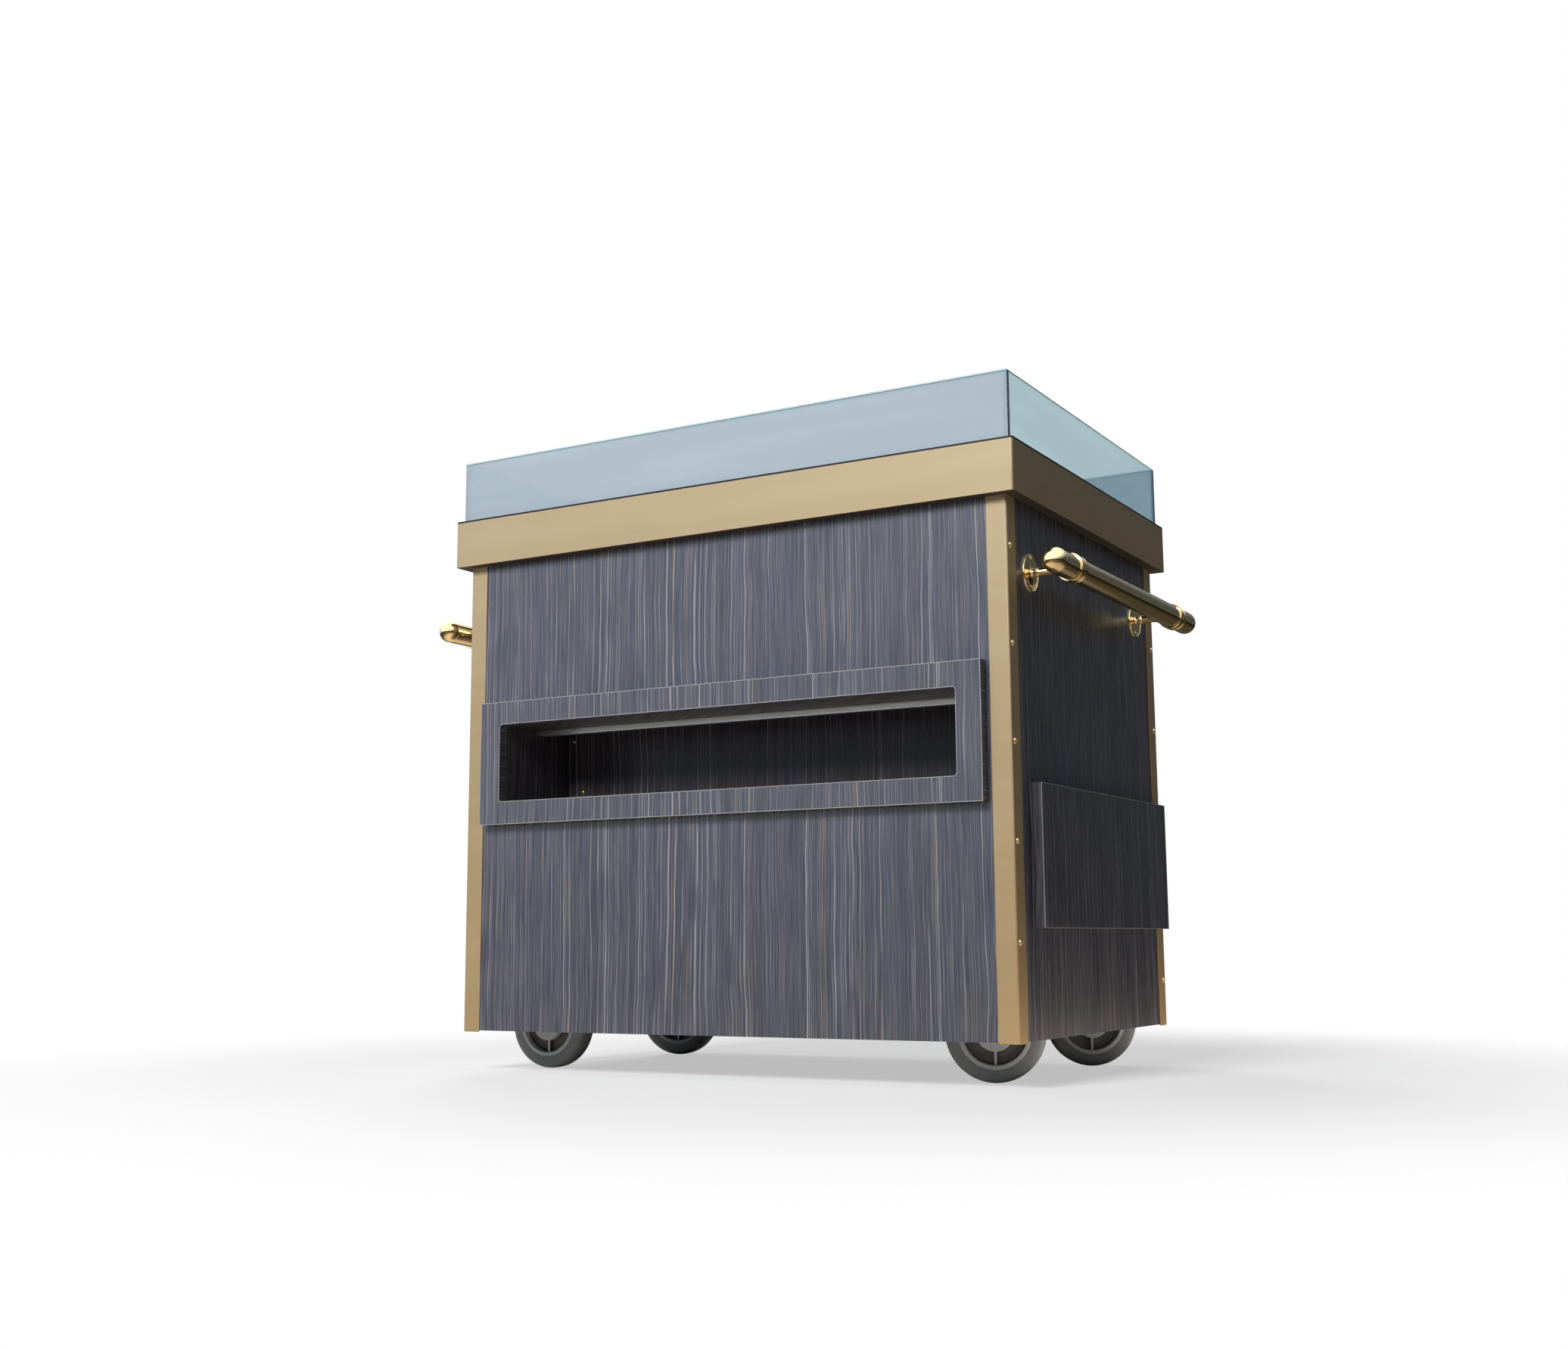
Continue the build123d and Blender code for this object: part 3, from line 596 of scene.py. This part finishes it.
# Drawer: a laminated front board with a banded edge, and a box of lacquered birch ply behind it
# that runs on two zinc-plated channels.
drawer_ground = (0.041, 0.043, 0.061, 1.0)
drawer_face = laminate("drawer laminate", drawer_ground, laminate_streak)
dress(drawer_face, "drawer_front")
low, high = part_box("drawer_front")
board_middle = (high.x, (high.y + low.y) / 2, (high.z + low.z) / 2)
side_facing = Matrix.Translation(board_middle) @ Matrix.Rotation(pi / 2, 4, "Z")
side_facing = side_facing @ Matrix.Rotation(pi / 2, 4, "X")
drawer_band = board_band((high.y - low.y) / 2, (high.z - low.z) / 2)
add_piece(
    "drawer_edge_bands", gather((drawer_band, side_facing)), edge_band, "drawer"
)

birch_dark = (0.46, 0.31, 0.17, 1.0)
birch_pale = (0.66, 0.50, 0.32, 1.0)
ply_dark = (0.33, 0.20, 0.10, 1.0)
ply_pale = (0.64, 0.49, 0.32, 1.0)
faces_up = 0.5
birch, tree, inputs = new_finish("lacquered birch ply", 0.45)
place = surface_place(tree)
figure = drawn_noise(tree, place, (3.0, 3.0, 60.0), 5.0)
plies = add_node(tree, "TexWave", {0: place, 1: 330.0, 2: 0.4}, bands_direction="X").outputs["Fac"]
cut_edge = calc(tree, "GREATER_THAN", surface_facing(tree, "Z"), faces_up)
wood_tone = blend_colours(tree, spread(tree, figure, 0.35, 0.65), birch_dark, birch_pale)
tone(tree, inputs, cut_edge, wood_tone, blend_colours(tree, plies, ply_dark, ply_pale))
relief(tree, inputs, figure, 0.0001)
dress(birch, "drawer_box", "drawer_bottom")
soften(0.0008, "drawer_box")

zinc_dull = (0.48, 0.49, 0.50, 1.0)
zinc_bright = (0.72, 0.73, 0.74, 1.0)
zinc, tree, inputs = new_finish("zinc plate", 0.36, 1.0)
spangle = noise(tree, surface_place(tree), 130.0, 3.0)
tone(tree, inputs, spangle, zinc_dull, zinc_bright)
tree.links.new(spread(tree, spangle, 0.3, 0.7, 0.28, 0.45), inputs["Roughness"])
relief(tree, inputs, spangle, 0.00005, 0.3)
dress(zinc, "cabinet_runners", "drawer_slides", "caster_plates")

# Inner boards: the base deck, shelf, drawer partitions, head rail and top board, all of plain board
# stained dark and screwed together inside the panels.
stain_dark = (0.035, 0.030, 0.028, 1.0)
stain_pale = (0.085, 0.072, 0.064, 1.0)
inner_board, tree, inputs = new_finish("dark board", 0.6)
board_grain = drawn_noise(tree, surface_place(tree), (6.0, 90.0, 90.0), 5.0)
tone(tree, inputs, board_grain, stain_dark, stain_pale)
relief(tree, inputs, board_grain, 0.00015)
dress(inner_board, "base_deck", "inner_shelf", "drawer_partitions", "top_board", "head_rail")

# Sliding doors on the service side: two laminated boards, one behind the other, each with a brass
# finger cup pressed into its recess.
dress(panel_face, "door_left", "door_right")
soften(0.0006, "door_left", "door_right")
cup_half = (0.011, 0.045)
cup_offset_x = 0.355
cup_rim = 0.0026
cup_wall = 0.0008
cup_proud = 0.0008
cup_depth = 0.0042
cup_sections = (
    (-0.0004, -cup_depth - 0.0005, 0.005),
    (-0.0002, -0.0001, 0.005),
    (cup_rim, 0.0001, 0.006),
    (cup_rim - 0.0004, cup_proud, 0.006),
    (0.0, cup_proud, 0.005),
    (-cup_wall, cup_proud - 0.0006, 0.005),
    (-2 * cup_wall, -cup_depth + 0.002, 0.005),
    (-3.5 * cup_wall, -cup_depth, 0.004),
)


def finger_cup():
    """An oblong cup from its sections, each (growth, level, corner radius), from the underside of
    its outer wall over the rim and down to the floor of the hollow."""
    points = []
    for growth, level, radius in cup_sections:
        outline = rounded_outline(cup_half[0] + growth, cup_half[1] + growth, radius)
        points.extend(Vector((x, z, level)) for x, z in outline)
    count = len(outline)
    last = len(points) - count
    faces = []
    for ring in range(0, last, count):
        for step in range(count):
            here, after = ring + step, ring + (step + 1) % count
            faces.append((here, after, after + count, here + count))
    faces.append(tuple(range(last, len(points))))
    faces.append(tuple(reversed(range(count))))
    return points, faces


for side_name, side in (("left", -1), ("right", 1)):
    door = f"door_{side_name}"
    low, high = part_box(door)
    cup_middle = (side * cup_offset_x, high.y, (low.z + high.z) / 2)
    back_facing = Matrix.Translation(cup_middle) @ Matrix.Rotation(-pi / 2, 4, "X")
    cup = gather((finger_cup(), back_facing))
    add_piece(f"finger_cup_{side_name}", cup, brass, door)

# Worktop: a thin black sheet laid over the top board, faintly pebbled and scuffed, its edge just
# showing above the apron.
sheet_dark = (0.015, 0.016, 0.019, 1.0)
sheet_scuffed = (0.024, 0.026, 0.030, 1.0)
black_sheet, tree, inputs = new_finish("black worktop sheet", 0.35)
place = surface_place(tree)
scuffs = noise(tree, place, 14.0, 6.0)
tone(tree, inputs, scuffs, sheet_dark, sheet_scuffed)
tree.links.new(spread(tree, scuffs, 0.35, 0.7, 0.34, 0.42), inputs["Roughness"])
relief(tree, inputs, noise(tree, place, 1200.0, 1.0), 0.00004, 0.3)
inputs["Specular IOR Level"].default_value = 0.15
dress(black_sheet, "worktop")

# Glass guard: four 8 mm tinted panes bonded upright in a shallow seat. The faces are smoky
# blue-grey with faint wipe marks; the side panes are painted paler and more teal, as light. On the
# polished top edge a white line is painted highlight, over a dark teal line of painted shade, and
# the ends of the long panes show as a teal strip beside the dark line of the bond.
pane_tone = (0.485, 0.567, 0.630, 1.0)
pane_smear = (0.540, 0.616, 0.674, 1.0)
# Painted light: the side panes' tone is paler and more teal than the long panes' tone.
side_pane_painted_light = (0.560, 0.735, 0.790, 1.0)
# Painted highlight along the top edge, and painted shade in the dark teal line below it.
edge_painted_highlight = (0.80, 0.92, 0.92, 1.0)
edge_painted_shade = (0.16, 0.30, 0.34, 1.0)
cut_end = (0.300, 0.450, 0.520, 1.0)
bond_line = (0.030, 0.050, 0.060, 1.0)
shadow_tone = (0.60, 0.64, 0.68, 1.0)
long_pane_clear = 0.30
side_pane_clear = 0.85
edge_clear = 0.15
pane_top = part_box("glass_front")[1].z
painted_highlight_from = pane_top - 0.0026
painted_shade_from = pane_top - 0.0044
bond_from_y = 0.3262
end_from_y = 0.3272
guard_glass, tree, inputs = new_finish("tinted glass", 0.03)
place = surface_place(tree)
where = add_node(tree, "SeparateXYZ", {0: place}).outputs
sideways = faces_sideways(tree)
wipes = spread(tree, drawn_noise(tree, place, (2.5, 2.5, 30.0), 5.0), 0.40, 0.75)
off_middle = calc(tree, "ABSOLUTE", where["Y"])
is_end = calc(tree, "MULTIPLY", sideways, calc(tree, "GREATER_THAN", off_middle, bond_from_y))
past_bond = calc(tree, "GREATER_THAN", off_middle, end_from_y)
near_top = calc(tree, "GREATER_THAN", where["Z"], painted_shade_from)
in_top = calc(tree, "MULTIPLY", calc(tree, "SUBTRACT", 1.0, sideways), near_top)
pane = blend_colours(tree, wipes, pane_tone, pane_smear)
pane = blend_colours(tree, sideways, pane, side_pane_painted_light)
pane = blend_colours(tree, is_end, pane, blend_colours(tree, past_bond, bond_line, cut_end))
pane = blend_colours(tree, in_top, pane, edge_painted_shade)
tone(tree, inputs, calc(tree, "GREATER_THAN", where["Z"], painted_highlight_from), pane, edge_painted_highlight)
clear = add_node(tree, "Mix", {0: sideways, 2: long_pane_clear, 3: side_pane_clear}).outputs[0]
at_edge = calc(tree, "MAXIMUM", in_top, is_end)
clear = add_node(tree, "Mix", {0: at_edge, 2: clear, 3: edge_clear}).outputs[0]
tree.links.new(clear, inputs["Transmission Weight"])
inputs["IOR"].default_value = 1.45
tree.links.new(spread(tree, wipes, 0.0, 1.0, 0.02, 0.10), inputs["Roughness"])
see_through = add_node(tree, "BsdfTransparent", {0: shadow_tone}).outputs[0]
shadow_ray = add_node(tree, "LightPath").outputs["Is Shadow Ray"]
pane_body = tree.nodes["Principled BSDF"].outputs[0]
lit_pane = add_node(tree, "MixShader", {0: shadow_ray, 1: pane_body, 2: see_through}).outputs[0]
tree.links.new(lit_pane, tree.nodes["Material Output"].inputs[0])
dress(guard_glass, "glass_front", "glass_back", "glass_left", "glass_right")

# Push rails: 38 mm brass tube with a spun dome on each end, and a fine seam where the dome sits on.
# Each rail stands off its short side on two brackets.


def lathe(profile, segments=64):
    """A turned form about Z from its (radius, height) outline; a radius of 0 closes it there."""
    points = []
    rings = []
    for radius, height in profile:
        if radius == 0:
            rings.append([len(points)] * segments)
            points.append(Vector((0, 0, height)))
            continue
        rings.append(list(range(len(points), len(points) + segments)))
        for step in range(segments):
            angle = 2 * pi * step / segments
            points.append(Vector((radius * cos(angle), radius * sin(angle), height)))
    faces = []
    for lower, upper in zip(rings, rings[1:]):
        for step in range(segments):
            after = (step + 1) % segments
            corners = [lower[step], lower[after], upper[after], upper[step]]
            faces.append(tuple(dict.fromkeys(corners)))
    return points, faces


rail_radius = 0.019
rail_reach_x = 0.565
rail_z = 0.752
tube_half = 0.304
seam_depth = 0.0003
seam_width = 0.0008
dome_steps = 12
half_profile = [
    (rail_radius, 0.0),
    (rail_radius, tube_half - seam_width),
    (rail_radius - seam_depth, tube_half - seam_width / 2),
    (rail_radius, tube_half),
]
for step in range(1, dome_steps):
    angle = pi / 2 * step / dome_steps
    half_profile.append((rail_radius * cos(angle), tube_half + rail_radius * sin(angle)))
half_profile.append((0, tube_half + rail_radius))
rail_profile = [(radius, -height) for radius, height in reversed(half_profile[1:])] + half_profile
for side_name, side in (("left", -1), ("right", 1)):
    rail_middle = (side * rail_reach_x, 0, rail_z)
    bar = gather((lathe(rail_profile, 96), facing_matrix(rail_middle, (0, 1, 0))))
    push_rail = add_piece(f"push_rail_{side_name}", bar, brass, "cart", 20.0)
    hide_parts("handle_rails")

# Rail brackets: turned brass. A round rose with a raised rim is screwed to the panel, two fine
# beads ring the straight stem, and a spool-shaped collar grips the tube.
rose_face_x = 0.498
collar_y = 0.235
rose_screw_offset = 0.0225
rose_screw_seat = 0.0019
rose_turn = 0.3
rose_profile = [
    (0, 0.0), (0.0290, 0.0), (0.0290, 0.0012), (0.0284, 0.0022), (0.0270, 0.0026),
    (0.0262, 0.0020), (0.0255, 0.0018), (0.0150, 0.0022), (0.0090, 0.0028), (0.0072, 0.0034),
    (0.0066, 0.0044), (0.0066, 0.0118), (0.0070, 0.0120), (0.0072, 0.0126), (0.0070, 0.0132),
    (0.0065, 0.0135), (0.0070, 0.0138), (0.0072, 0.0144), (0.0070, 0.0150), (0.0062, 0.0152),
    (0.0060, 0.0160), (0.0060, 0.0460), (0, 0.0460),
]
collar_profile = [
    (0.0192, -0.0120), (0.0206, -0.0120), (0.0214, -0.0112), (0.0216, -0.0102),
    (0.0213, -0.0092), (0.0205, -0.0084), (0.0202, -0.0078), (0.0203, -0.0050),
    (0.0205, 0.0000), (0.0208, 0.0048), (0.0212, 0.0072), (0.0215, 0.0088), (0.0216, 0.0102),
    (0.0213, 0.0112), (0.0206, 0.0120), (0.0192, 0.0120), (0.0192, -0.0120),
]
for end_name, end in (("front", -1), ("back", 1)):
    for side_name, side in (("left", -1), ("right", 1)):
        rose_place = (side * rose_face_x, end * collar_y, rail_z)
        collar_place = (side * rail_reach_x, end * collar_y, rail_z)
        shapes = [
            (lathe(rose_profile), facing_matrix(rose_place, (side, 0, 0))),
            (lathe(collar_profile, 96), facing_matrix(collar_place, (0, -end, 0))),
        ]
        for up in (-1, 1):
            off_rose = Vector((side * rose_screw_seat, 0, up * rose_screw_offset))
            turn = rose_turn * up + end
            screw_matrix = facing_matrix(Vector(rose_place) + off_rose, (side, 0, 0), turn)
            shapes.append((screw_head(radius=0.0040, height=0.0013), screw_matrix))
        bracket = add_piece(
            f"rail_bracket_{end_name}_{side_name}", gather(*shapes), brass, "cart",
            35.0,
        )
        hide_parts("handle_brackets")

# Casters: pressed zinc-plated forks under bolted top plates. Each wheel has a moulded grey centre
# with a recessed web, five ribs and a hub, and a grey rubber tyre with rounded shoulders. The
# recessed web is coloured dark as painted shade.
corners = ("front_right", "front_left", "back_right", "back_left")
fork_nodes = [f"caster_fork_{corner}" for corner in corners]
dress(zinc, *fork_nodes)
soften(0.0006, *fork_nodes)

rubber_dark = (0.22, 0.25, 0.28, 1.0)
rubber_dusty = (0.34, 0.38, 0.42, 1.0)
rubber, tree, inputs = new_finish("grey rubber", 0.7)
place = surface_place(tree)
dust = noise(tree, place, 40.0, 6.0)
tone(tree, inputs, dust, rubber_dark, rubber_dusty)
tree.links.new(spread(tree, dust, 0.3, 0.7, 0.6, 0.8), inputs["Roughness"])
relief(tree, inputs, noise(tree, place, 500.0), 0.0001)

plastic_dull = (0.52, 0.58, 0.64, 1.0)
plastic_pale = (0.66, 0.72, 0.79, 1.0)
plastic, tree, inputs = new_finish("moulded grey plastic", 0.5)
place = surface_place(tree)
tone(tree, inputs, noise(tree, place, 28.0, 5.0), plastic_dull, plastic_pale)
relief(tree, inputs, noise(tree, place, 700.0), 0.00006)

# Painted shade: the recessed web of each wheel centre is coloured dark.
web_shade_dark = (0.10, 0.10, 0.10, 1.0)
web_shade_pale = (0.22, 0.22, 0.22, 1.0)
web_painted_shade, tree, inputs = new_finish("wheel web painted shade", 0.65)
web_shade_mottle = noise(tree, surface_place(tree), 60.0, 4.0)
tone(tree, inputs, web_shade_mottle, web_shade_dark, web_shade_pale)
relief(tree, inputs, web_shade_mottle, 0.0001)

tyre_profile = [
    (0.0552, -0.0180), (0.0600, -0.0186), (0.0680, -0.0184), (0.0712, -0.0172),
    (0.0734, -0.0148), (0.0746, -0.0105), (0.0750, -0.0050), (0.0750, 0.0050),
    (0.0746, 0.0105), (0.0734, 0.0148), (0.0712, 0.0172), (0.0680, 0.0184),
    (0.0600, 0.0186), (0.0552, 0.0180), (0.0552, -0.0180),
]
core_half = [
    (0.0552, 0.0), (0.0552, 0.0178), (0.0545, 0.0186), (0.0500, 0.0186), (0.0490, 0.0180),
    (0.0482, 0.0100), (0.0470, 0.0042), (0.0455, 0.0031), (0.0402, 0.0030), (0.0396, 0.0038),
    (0.0388, 0.0038), (0.0382, 0.0030), (0.0312, 0.0031), (0.0300, 0.0042), (0.0292, 0.0110),
    (0.0284, 0.0196), (0.0276, 0.0204), (0.0110, 0.0205), (0.0100, 0.0200), (0.0062, 0.0200),
    (0.0062, 0.0),
]
core_far_half = [(radius, -height) for radius, height in reversed(core_half[1:-1])]
core_profile = core_half[:-1] + core_far_half + core_half[:1]
web_from = 0.0292
web_to = 0.0480
web_depth = 0.0080
rib_count = 5
rib_half = (0.0104, 0.0022, 0.0128)
rib_ease = 0.0006
rib_middle_radius = 0.0385


def rib():
    """One rib: a thin upright wall across the recess, its edges eased."""
    length, thickness, height = rib_half
    wall = thickness - rib_ease
    outline = ((length, wall), (length, -wall), (-length, -wall), (-length, wall))
    shoulder = [
        Vector((x, y + (rib_ease if y > 0 else -rib_ease), level))
        for level in (-height + rib_ease, height - rib_ease)
        for x, y in outline
    ]
    crest = [Vector((x, y, level)) for level in (-height, height) for x, y in outline]
    sides = [(0, 1, 5, 4), (2, 3, 7, 6), (1, 2, 6, 5), (3, 0, 4, 7)]
    upper = [(4, 5, 13, 12), (5, 6, 14, 13), (6, 7, 15, 14), (7, 4, 12, 15), (12, 13, 14, 15)]
    lower = [(1, 0, 8, 9), (2, 1, 9, 10), (3, 2, 10, 11), (0, 3, 11, 8), (11, 10, 9, 8)]
    return shoulder + crest, sides + upper + lower


for corner in corners:
    wheel = f"wheel_{corner}"
    spin = next(joint for joint in frame["joints"] if joint["name"] == f"{wheel}_spin")
    axle = facing_matrix(spin["pos_m"], spin["axis"])
    to_axle = axle.inverted()
    down = to_axle.to_3x3() @ Vector((0, 0, -1))
    first_rib = Vector((1, 0, 0)).angle(down) * (1 if down.y > 0 else -1)
    ribs = []
    for number in range(rib_count):
        turn = Matrix.Rotation(first_rib + 2 * pi * number / rib_count, 4, "Z")
        ribs.append((rib(), axle @ turn @ Matrix.Translation((rib_middle_radius, 0, 0))))
    rubber_ring = gather((lathe(tyre_profile, 128), axle))
    tyre = add_piece(f"tyre_{corner}", rubber_ring, rubber, wheel)
    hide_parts(f"caster_tyre_{corner}")
    moulding = gather((lathe(core_profile, 96), axle), *ribs)
    core = add_piece(f"wheel_centre_{corner}", moulding, plastic, wheel)
    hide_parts(f"caster_core_{corner}")
    # The web's faces take the painted shade.
    core.data.materials.append(web_painted_shade)
    for polygon in core.data.polygons:
        seat = to_axle @ polygon.center
        if web_from < Vector((seat.x, seat.y)).length < web_to and abs(seat.z) < web_depth:
            polygon.material_index = 1

# Plate bolts: zinc-plated hexagon bolts, four to a caster, that hold its top plate up to the base
# deck. Their heads are below the plate.
bolt_head = [
    (0, 0.0), (0.0064, 0.0), (0.0075, 0.0006), (0.0075, 0.0050), (0.0069, 0.0056), (0, 0.0056),
]
plates_x = (-0.375, 0.375)
plates_y = (-0.2, 0.2)
bolts_x = (-0.036, 0.036)
bolts_y = (-0.028, 0.028)
plate_under_z = 0.183
turn_per_metre = 50
bolts = []
for plate_x, plate_y, bolt_x, bolt_y in product(plates_x, plates_y, bolts_x, bolts_y):
    bolt_place = (plate_x + bolt_x, plate_y + bolt_y, plate_under_z)
    bolt_matrix = facing_matrix(bolt_place, (0, 0, -1), bolt_x * turn_per_metre)
    bolts.append((lathe(bolt_head, 6), bolt_matrix))
add_piece("plate_bolts", gather(*bolts), zinc, "cart", 20.0)
